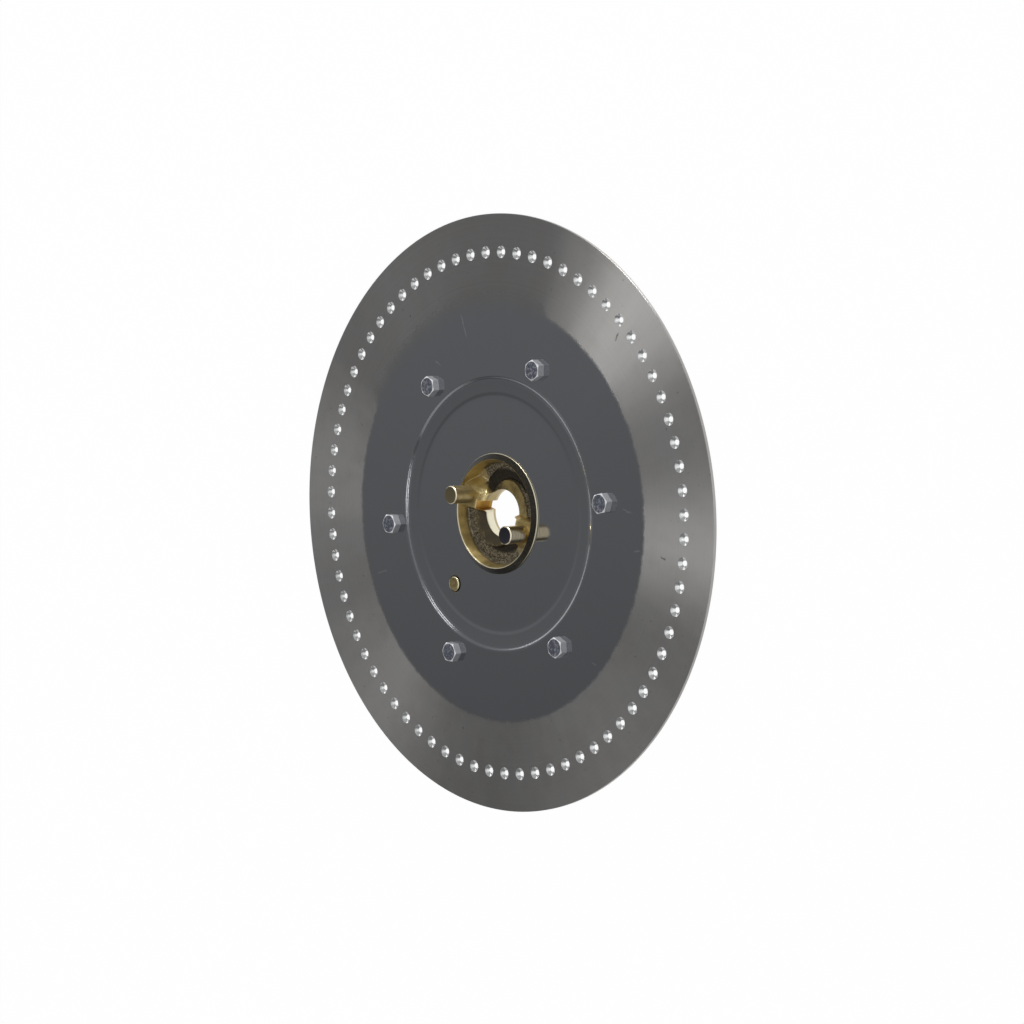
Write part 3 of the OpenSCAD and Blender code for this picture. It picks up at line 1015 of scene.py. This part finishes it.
class HubForm:
    """Heights and edges of the cast cup, in millimetres."""

    HALF_TURNS = (0.0, math.pi)
    WALL_DRAFT = 3.0
    CHANNEL_SWEEP = math.radians(105)
    NOTCH_SWEEP = math.radians(30)
    WEB_SWEEP = 1.2
    # Fillets, by where they lie
    EDGE_FILLET = 0.5
    FLOOR_FILLET = 0.35
    WALL_FILLET = 1.0
    WEB_FILLET = 0.7
    FLANK_FILLET = 0.9

    def __init__(self, sizes, pin_turn):
        self.sizes = sizes
        self.pin_turn = pin_turn

    def mm(self, name):
        return getattr(self.sizes, name) / MM

    def bore_edge(self, turn):
        """Radius of the bore's edge, with its two notches."""
        radius = self.mm("bore") / 2
        for opposite in self.HALF_TURNS:
            off = abs(wrapped(turn - self.sizes.notch_angle - opposite))
            if off < self.NOTCH_SWEEP:
                end = self.mm("notch_reach") / math.cos(off)
                side = self.mm("notch_width") / 2 / max(math.sin(off), NEARLY)
                radius = max(radius, min(end, side))
        return radius

    def channel(self, x, y):
        """Height of the hooked channels at a point."""
        height = math.inf
        for opposite in self.HALF_TURNS:
            turn = self.pin_turn + opposite
            away = turn + self.sizes.channel_angle
            middle = (
                self.mm("channel_offset") * math.cos(away),
                self.mm("channel_offset") * math.sin(away),
            )
            end = turn + self.sizes.channel_end
            along = wrapped(end - math.atan2(y - middle[1], x - middle[0]))
            nearest = end - min(max(along, 0.0), self.CHANNEL_SWEEP)
            off = math.hypot(
                x - middle[0] - self.mm("channel_radius") * math.cos(nearest),
                y - middle[1] - self.mm("channel_radius") * math.sin(nearest),
            )
            side = self.mm("channel_height") + (off - self.mm("channel_width") / 2) * self.WALL_DRAFT
            height = min(height, smooth_max(self.mm("channel_height"), side, self.EDGE_FILLET))
        return height

    def height(self, x, y):
        """Height of the cup's surface at a point."""
        radius = math.hypot(x, y)
        turn = math.atan2(y, x)
        beyond_ring = radius - self.mm("ring") / 2
        floor = self.mm("pocket_height")
        ring_slope = self.mm("ring_fall") / (self.mm("ring") - self.mm("bore")) * 2
        ring_top = self.mm("ring_height") + beyond_ring * ring_slope
        ring_wall = self.mm("ring_height") - beyond_ring * self.WALL_DRAFT
        ring = smooth_min(ring_top, ring_wall, self.EDGE_FILLET)
        height = smooth_max(floor, ring, self.FLOOR_FILLET)
        height = smooth_min(height, self.channel(x, y), self.FLOOR_FILLET)
        foot = self.mm("cup_floor") / 2
        mouth = self.mm("mouth") / 2
        rise = (self.mm("crest_height") - CREST_ROUND - floor) / (mouth - foot)
        height = smooth_max(height, floor + (radius - foot) * rise, self.WALL_FILLET)
        web_top = self.mm("web_height")
        for opposite in self.HALF_TURNS:
            away = wrapped(turn - self.sizes.web_angle - opposite)
            side = min(max(abs(away) - self.sizes.web_span / 2, -self.WEB_SWEEP), self.WEB_SWEEP)
            wall = web_top - radius * math.sin(side) * self.WALL_DRAFT
            along, across = radius * math.cos(away), radius * math.sin(away)
            edge = (along - self.mm("bore") / 2) * math.tan(self.sizes.flank_turn) - self.mm("flank_offset")
            slope = math.cos(self.sizes.flank_turn) * math.tan(self.sizes.flank_slope)
            flank = web_top + (across - edge) * slope
            web = smooth_min(smooth_min(web_top, wall, self.WEB_FILLET), flank, self.FLANK_FILLET)
            height = smooth_max(height, web, self.FLANK_FILLET)
        return height

    def section(self, turn):
        """Closed section at one angle as (radius, height), from the bore's foot round to its back face."""
        edge = self.bore_edge(turn)
        x, y = math.cos(turn), math.sin(turn)

        def surface(radius):
            return self.height(radius * x, radius * y)

        brim = edge + BRIM_ROUND
        top = surface(brim)
        line = [(edge, BORE_FOOT + (top - BRIM_ROUND - BORE_FOOT) * share) for share in BORE_ROWS]
        line += [(edge + 0.08, top - 0.24), (edge + 0.24, top - 0.08)]
        mouth = self.mm("mouth") / 2
        crest = self.mm("crest_height")
        for i in range(CUP_ROWS):
            radius = brim + (mouth - brim) * i / (CUP_ROWS - 1)
            line.append((radius, min(surface(radius), crest - CREST_ROUND)))
        crown = mouth + CREST_ROUND
        lip = self.mm("lip") / 2
        seat = self.mm("lip_seat_height")
        lip_edge = self.mm("lip_edge_height")
        line += [(mouth + 0.04, crest - 0.14), (mouth + 0.14, crest - 0.03), (crown, crest)]
        line += [(crown + (lip - crown) * share, crest + (lip_edge - crest) * share) for share in LIP_ROWS]
        line += [(lip - 0.05, lip_edge - 0.02), (lip, lip_edge - 0.09)]
        line += [(lip, seat + 0.06), (lip - 0.06, seat)]
        spigot = self.mm("spigot") / 2
        flange_seat = self.mm("seat_height")
        line += [(spigot + 0.05, seat), (spigot, seat - 0.05), (spigot, flange_seat + 0.05)]
        line += [(spigot + 0.05, flange_seat), (FLANGE_ROW, flange_seat)]
        flange = self.mm("flange") / 2
        flange_back = flange_seat - self.mm("flange_thickness")
        line += [(flange - across, flange_seat - down) for across, down in FLANGE_ROUND]
        line += [(flange - across, flange_back + up) for across, up in reversed(FLANGE_ROUND)]
        root = self.mm("boss_root") / 2
        back = self.mm("back") / 2
        line += [(root + 0.9, flange_back), (root + 0.25, flange_back - 0.2)]
        line.append((root - 0.1, flange_back - 0.9))
        line += [(back, 0.5), (back - 0.12, 0.12), (back - 0.5, 0.0), (edge + 4.0, 0.0), (edge + 0.4, 0.0)]
        return line


class SEEDPLATE_OT_hub(Operator):
    """Builds the cast hub: notched bore, ring, hooked channels, webs, rolled lip and rear flange"""

    bl_idname = "seedplate.hub"
    bl_label = "Drive hub"

    def execute(self, context):
        pin = node_axis(PIN_NODES[0])
        form = HubForm(context.scene.seed_plate_hub, math.atan2(pin.y, pin.x))
        turns = [math.tau * i / HUB_SEGMENTS for i in range(HUB_SEGMENTS)]
        sections = [form.section(turn) for turn in turns]
        bm = bmesh.new()
        rows = []
        for row in zip(*sections):
            ring = []
            for turn, (radius, height) in zip(turns, row):
                ring.append(vertex(bm, radius * math.cos(turn), radius * math.sin(turn), height))
            rows.append(ring)
        loft(bm, rows, closed=True)
        mesh = finished_mesh(bm, "drive_hub_dressed", HUB_CREASE)
        hub = place_object("drive_hub_dressed", mesh, plated_casting(self.colours, form.sizes))
        dress(hub, "hub_casting", HUB_NODE)
        return {"FINISHED"}


# Pins and peg

def pin_profile(radius, chamfer, foot, tip):
    """Turned pin from its foot to a chamfered tip with a faint dish in its end face."""
    return [
        (radius, foot),
        (radius, tip - chamfer - 0.5),
        (radius, tip - chamfer - 0.06),
        (radius - 0.03, tip - chamfer + 0.03),
        (radius - chamfer + 0.05, tip - 0.03),
        (radius - chamfer - 0.05, tip),
        (radius - chamfer - 0.22, tip - 0.01),
        (radius - chamfer - 0.45, tip - 0.05),
        (radius * 0.3, tip - 0.07),
    ]


class SEEDPLATE_OT_pins(Operator):
    """Builds the two drive pins"""

    bl_idname = "seedplate.pins"
    bl_label = "Drive pins"

    def execute(self, context):
        sizes = context.scene.seed_plate_pins
        web_top = context.scene.seed_plate_hub.web_height
        bm = bmesh.new()
        foot = (web_top - sizes.seating) / MM
        tip = node_top(PIN_NODES[0]) / MM
        turned(bm, pin_profile(sizes.pin / MM / 2, sizes.pin_chamfer / MM, foot, tip))
        shape = place_object("drive_pin", finished_mesh(bm, "drive_pin", PIN_CREASE))
        places = [(*node_axis(node).xy, 0.0) for node in PIN_NODES]
        pins = place_copies("drive_pins_dressed", shape, places, PIN_CREASE, plated_pin(self.colours))
        dress(pins, "pin_steel", *PIN_NODES)
        return {"FINISHED"}


class SEEDPLATE_OT_peg(Operator):
    """Builds the index peg in the plate's clearance hole"""

    bl_idname = "seedplate.peg"
    bl_label = "Index peg"

    def execute(self, context):
        sizes = context.scene.seed_plate_pins
        seat = context.scene.seed_plate_hub.seat_height
        peg = node_axis(PEG_NODE)
        bm = bmesh.new()
        foot = (seat - sizes.seating) / MM
        profile = pin_profile(sizes.peg / MM / 2, sizes.peg_chamfer / MM, foot, node_top(PEG_NODE) / MM)
        turned(bm, profile, middle=(peg.x / MM, peg.y / MM))
        mesh = finished_mesh(bm, "index_peg_dressed", PIN_CREASE)
        piece = place_object("index_peg_dressed", mesh, plated_peg(self.colours))
        dress(piece, "pin_steel", PEG_NODE)
        return {"FINISHED"}


# Agitator studs

CORNER_STEPS = 4
SIDE_STEPS = 6


def hexagon(flats, corner):
    """Outline of a hexagon with rounded corners, as (x, y) in millimetres, first corner on +X."""
    reach = (flats / 2 - corner) / math.cos(math.radians(30))
    arcs = []
    for i in range(6):
        arc = []
        for k in range(CORNER_STEPS + 1):
            middle = math.radians(60 * i)
            turn = middle + math.radians(-30 + 60 * k / CORNER_STEPS)
            x = reach * math.cos(middle) + corner * math.cos(turn)
            y = reach * math.sin(middle) + corner * math.sin(turn)
            arc.append(Vector((x, y)))
        arcs.append(arc)
    outline = []
    for arc, following in zip(arcs, arcs[1:] + arcs[:1]):
        outline += arc
        outline += [arc[-1].lerp(following[0], k / SIDE_STEPS) for k in range(1, SIDE_STEPS)]
    return outline


class SEEDPLATE_OT_studs(Operator):
    """Builds the six hexagon agitator studs with their peened rear ends"""

    bl_idname = "seedplate.studs"
    bl_label = "Agitator studs"

    def execute(self, context):
        sizes = context.scene.seed_plate_studs
        plate = context.scene.seed_plate_sizes
        front = plate.front / MM
        back = front - plate.thickness / MM
        bm = bmesh.new()
        self.head(bm, sizes, front)
        tail = sizes.tail / MM / 2
        height = sizes.tail_height / MM
        shank = sizes.shank / MM / 2
        turned(bm, [
            (tail - 0.1, back),
            (tail, back - 0.08),
            (tail - 0.1, back - 0.25),
            (shank + 0.3, back - height + 0.12),
            (shank - 0.1, back - height),
            (shank * 0.4, back - height + 0.02),
        ], 48)
        shape = place_object("agitator_stud", finished_mesh(bm, "agitator_stud", STUD_CREASE))
        places = [(*node_axis(node).xy, turn) for node, turn in zip(STUD_NODES, sizes.turns)]
        studs = place_copies("agitator_studs_dressed", shape, places, STUD_CREASE, zinc_stud(self.colours))
        dress(studs, "stud_steel", *STUD_NODES)
        return {"FINISHED"}

    def head(self, bm, sizes, front):
        """Hexagon head whose corners are chamfered to a round end face."""
        outline = [(x, y, math.hypot(x, y)) for x, y in hexagon(sizes.flats / MM, sizes.corner / MM)]
        face = sizes.face / MM / 2
        top = front + sizes.head / MM
        slope = math.tan(sizes.chamfer)
        rings = [[vertex(bm, x, y, front) for x, y, _ in outline]]
        for drop in (0.12, 0.0):
            rings.append([vertex(bm, x, y, top - (out - face) * slope - drop) for x, y, out in outline])
        end_rings = [(face + 0.02, 0.03), (face - 0.08, 0.0), (face - 0.3, 0.0), (face * 0.4, 0.02)]
        for radius, drop in end_rings:
            points = [(x / out * radius, y / out * radius) for x, y, out in outline]
            rings.append([vertex(bm, x, y, top - drop) for x, y in points])
        capped_loft(bm, rings)


# Stage

# Name, place, width and height in metres, and power in watts
LAMPS = (
    ("key_softbox", (-0.475, 0.39, 1.03), (0.24, 0.24), 0.69),
    ("top_softbox", (-0.29, -0.11, 1.16), (0.22, 0.22), 0.64),
    ("low_strip", (-0.89, 0.72, 0.37), (0.75, 0.06), 0.24),
    ("fill", (-0.54, -0.57, 0.91), (0.60, 0.60), 0.47),
    ("side_softbox", (0.30, 1.14, 0.16), (0.50, 0.25), 9.0),
)
SENSOR_WIDTH = 36.0
# Half the floor's width and its depth below the part, in metres
FLOOR_REACH = 12.0
FLOOR_DROP = 0.1 * MM


class SEEDPLATE_OT_stage(Operator):
    """Sets up the camera, the pale floor, the room and the soft lamps"""

    bl_idname = "seedplate.stage"
    bl_label = "Stage"

    def execute(self, context):
        settings = context.scene.seed_plate_stage
        context.scene.view_settings.view_transform = "Standard"
        self.camera(context, settings)
        self.room(context, settings)
        self.floor(settings)
        for lamp in LAMPS:
            self.lamp(*lamp)
        return {"FINISHED"}

    def camera(self, context, settings):
        data = bpy.data.cameras.new("view")
        data.lens = settings.lens
        data.sensor_width = SENSOR_WIDTH
        data.sensor_fit = "HORIZONTAL"
        place = Vector(settings.camera)
        back = (place - Vector(settings.target)).normalized()
        right = Vector(settings.upright).cross(back).normalized()
        up = back.cross(right)
        camera = bpy.data.objects.new("view", data)
        context.scene.collection.objects.link(camera)
        camera.matrix_world = Matrix.Translation(place) @ Matrix((right, up, back)).transposed().to_4x4()
        context.scene.camera = camera

    def room(self, context, settings):
        """Pale room that darkens overhead."""
        world = bpy.data.worlds.new("room")
        context.scene.world = world
        world.use_nodes = True
        tree = NodeTree(world.node_tree)
        direction = tree.value("ShaderNodeTexCoord", output="Generated")
        front, side, height = tree.separate(direction)
        overhead = height.ramp(0.10, 0.46)
        horizon = settings.far_horizon + side.ramp(-0.55, 0.1) * (settings.horizon - settings.far_horizon)
        ceiling = settings.far_ceiling + side.ramp(-0.25, 0.30) * (settings.ceiling - settings.far_ceiling)
        ceiling = ceiling + front.ramp(0.10, 0.50) * (settings.front - ceiling)
        level = horizon - overhead * (horizon - ceiling)
        tint = tree.mix(overhead, (1.0, 1.0, 1.0), (0.97, 0.985, 1.0))
        tree.connect(world.node_tree.nodes["Background"], {"Color": tint, "Strength": level})

    def floor(self, settings):
        """Wide floor: plain white to the eye and in metal, with a soft trace of the part's shadow."""
        bm = bmesh.new()
        bmesh.ops.create_grid(bm, x_segments=1, y_segments=1, size=FLOOR_REACH)
        mesh = bpy.data.meshes.new("floor")
        bm.to_mesh(mesh)
        bm.free()
        mesh.transform(Matrix.Translation((0.0, 0.0, -FLOOR_DROP)))
        material = bpy.data.materials.new("floor")
        material.use_nodes = True
        tree = NodeTree(material.node_tree)
        tree.tree.nodes.clear()
        path = tree.node("ShaderNodeLightPath")
        rays = ("Is Camera Ray", "Is Glossy Ray", "Is Transmission Ray")
        camera, glossy, through = (Value(tree, path.outputs[ray]) for ray in rays)
        seen = (camera + glossy + through).ramp(0.0, 1.0)
        matt = tree.value("ShaderNodeBsdfDiffuse", None, {"Color": (0.86, 0.86, 0.86, 1.0)})
        glow = tree.value("ShaderNodeEmission", None, {"Color": (1.0, 1.0, 1.0, 1.0), "Strength": 1.0})
        shown = tree.value("ShaderNodeMixShader", None, {0: seen * settings.floor_glow, 1: matt, 2: glow})
        tree.node("ShaderNodeOutputMaterial", None, {"Surface": shown})
        place_object("floor", mesh, material)

    def lamp(self, name, place, size, power):
        """A soft rectangular lamp that faces the part."""
        data = bpy.data.lights.new(name, "AREA")
        data.shape = "RECTANGLE"
        data.size, data.size_y = size
        data.energy = power
        lamp = bpy.data.objects.new(name, data)
        bpy.context.scene.collection.objects.link(lamp)
        lamp.location = place
        lamp.rotation_euler = Vector(place).to_track_quat("Z", "Y").to_euler()


class SEEDPLATE_PT_panel(bpy.types.Panel):
    """Lists the steps that build the part"""

    bl_idname = "SEEDPLATE_PT_panel"
    bl_label = "Seed plate"
    bl_space_type = "VIEW_3D"
    bl_region_type = "UI"
    bl_category = "Seed plate"

    def draw(self, context):
        for step in STEPS:
            self.layout.operator(step.bl_idname)


STEPS = (
    SEEDPLATE_OT_sheet,
    SEEDPLATE_OT_hub,
    SEEDPLATE_OT_pins,
    SEEDPLATE_OT_peg,
    SEEDPLATE_OT_studs,
    SEEDPLATE_OT_stage,
)
GROUPS = {
    "seed_plate_sizes": SeedPlateSizes,
    "seed_plate_hub": DriveHubSizes,
    "seed_plate_pins": PinSizes,
    "seed_plate_studs": StudSizes,
    "seed_plate_colours": FinishColours,
    "seed_plate_stage": StageSettings,
}


def register():
    for name, group in GROUPS.items():
        bpy.utils.register_class(group)
        setattr(bpy.types.Scene, name, bpy.props.PointerProperty(type=group))
    for step in (*STEPS, SEEDPLATE_PT_panel):
        bpy.utils.register_class(step)


def unregister():
    for step in reversed((*STEPS, SEEDPLATE_PT_panel)):
        bpy.utils.unregister_class(step)
    for name, group in reversed(GROUPS.items()):
        delattr(bpy.types.Scene, name)
        bpy.utils.unregister_class(group)


def main():
    register()
    bpy.ops.seedplate.sheet()
    bpy.ops.seedplate.hub()
    bpy.ops.seedplate.pins()
    bpy.ops.seedplate.peg()
    bpy.ops.seedplate.studs()
    bpy.ops.seedplate.stage()


if __name__ == "__main__":
    main()
